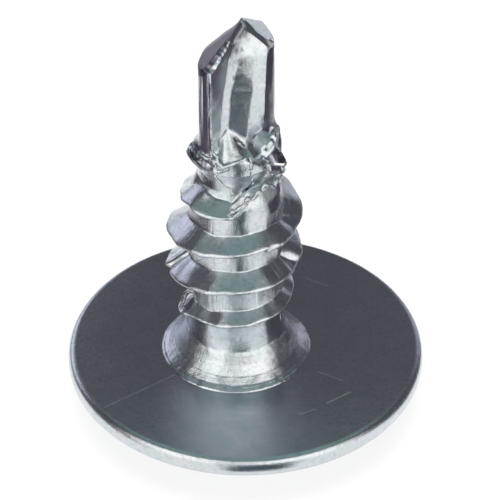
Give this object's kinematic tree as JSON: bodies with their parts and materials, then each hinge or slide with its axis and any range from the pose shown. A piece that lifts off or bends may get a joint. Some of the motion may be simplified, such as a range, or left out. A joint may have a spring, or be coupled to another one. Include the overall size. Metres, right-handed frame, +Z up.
{
  "type": "self drilling screw",
  "caption": "Wafer head self drilling screw with a cross recess, a coarse rolled thread and a two-lobed forged drill point, for fixing sheet metal to a metal frame without a pilot hole.",
  "frame": {"origin": "centre of the bounding box's base: the centre of the flange, at the level of the crown's flat", "axes": "+Z runs up the shank from the head to the drill point, and the pictured front faces -Y"},
  "size_m": [0.0114, 0.0114, 0.0148],
  "materials": {
    "zinc_plated_steel": "bright zinc plating over forged and rolled steel"
  },
  "bodies": {
    "root": {"screw": "zinc_plated_steel"}
  },
  "joints": []
}
